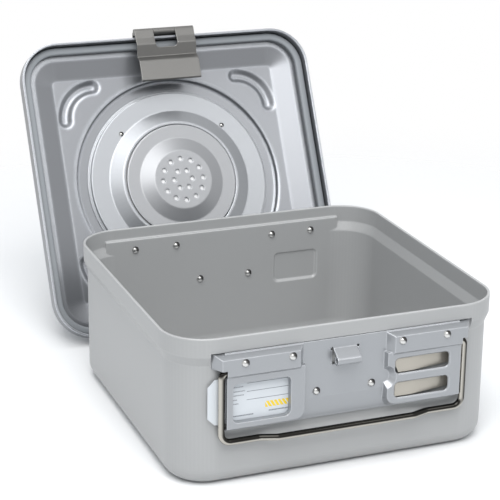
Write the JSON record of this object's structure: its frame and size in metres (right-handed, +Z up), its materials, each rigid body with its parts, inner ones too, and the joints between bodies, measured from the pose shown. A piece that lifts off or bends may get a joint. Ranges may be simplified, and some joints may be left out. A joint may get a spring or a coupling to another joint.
{
  "type": "sterilization_container",
  "caption": "Deep-drawn aluminium sterilization container with a loose gasketed lid, wire bail handles, plate latches and a round filter under a perforated cover.",
  "frame": {"origin": "middle of the tub's flat underside, on the floor", "axes": "+Z up out of the tub's mouth, -Y out of the front with the label card, +X to the right seen from the front; the lid leans behind the tub on the +Y side"},
  "size_m": [0.3, 0.4759, 0.2759],
  "materials": {
    "tub_aluminium": "satin anodised, drawn",
    "plate_aluminium": "satin anodised, pressed",
    "lid_aluminium": "satin anodised, drawn",
    "ring_aluminium": "satin",
    "cover_aluminium": "satin",
    "gasket_silicone": "matt",
    "filter_cloth": "matt",
    "card_paper": "matt",
    "wire_steel": "polished wire",
    "leaf_steel": "bright spring sheet",
    "latch_steel": "satin",
    "pin_steel": "bright",
    "rivet_steel": "bright"
  },
  "bodies": {
    "tub": {"tub_shell": "tub_aluminium", "front_handle_plate": "plate_aluminium", "rear_handle_plate": "plate_aluminium", "front_plate_rivets": "rivet_steel", "rear_plate_rivets": "rivet_steel", "front_spring_leaf": "leaf_steel", "rear_spring_leaf": "leaf_steel"},
    "lid": {"lid_shell": "lid_aluminium", "lid_gasket": "gasket_silicone", "filter_disc": "filter_cloth", "filter_ring": "ring_aluminium", "filter_rivets": "rivet_steel", "front_latch_bracket": "latch_steel", "rear_latch_bracket": "latch_steel", "front_latch_pin": "pin_steel", "rear_latch_pin": "pin_steel", "front_bracket_rivets": "rivet_steel", "rear_bracket_rivets": "rivet_steel"},
    "front_handle": {"front_handle": "wire_steel"},
    "rear_handle": {"rear_handle": "wire_steel"},
    "front_latch": {"front_latch": "latch_steel"},
    "rear_latch": {"rear_latch": "latch_steel"},
    "label_card": {"front_label_card": "card_paper"},
    "filter_cover": {"filter_cover": "cover_aluminium"}
  },
  "joints": [
    {"name": "front_handle_swing", "type": "hinge", "parent": "tub", "child": "front_handle", "pos_m": [0, -0.14275, 0.1002], "axis": [-1, 0, 0], "range_deg": [0, 90]},
    {"name": "rear_handle_swing", "type": "hinge", "parent": "tub", "child": "rear_handle", "pos_m": [0, 0.14275, 0.1002], "axis": [1, 0, 0], "range_deg": [0, 90]},
    {"name": "lid_lift", "type": "slide", "parent": "tub", "child": "lid", "axis": [0, 0.454, 0.891], "range_m": [0, 0.2]},
    {"name": "front_latch_swing", "type": "hinge", "parent": "lid", "child": "front_latch", "pos_m": [0, 0.31344, 0.27258], "axis": [-1, 0, 0], "range_deg": [0, 165]},
    {"name": "rear_latch_swing", "type": "hinge", "parent": "lid", "child": "rear_latch", "pos_m": [0, 0.17678, 0.00438], "axis": [1, 0, 0], "range_deg": [0, 50]},
    {"name": "label_card_slide", "type": "slide", "parent": "tub", "child": "label_card", "axis": [-1, 0, 0], "range_m": [0, 0.075]},
    {"name": "filter_cover_lift", "type": "slide", "parent": "lid", "child": "filter_cover", "axis": [0, -0.891, 0.454], "range_m": [0, 0.025]}
  ]
}
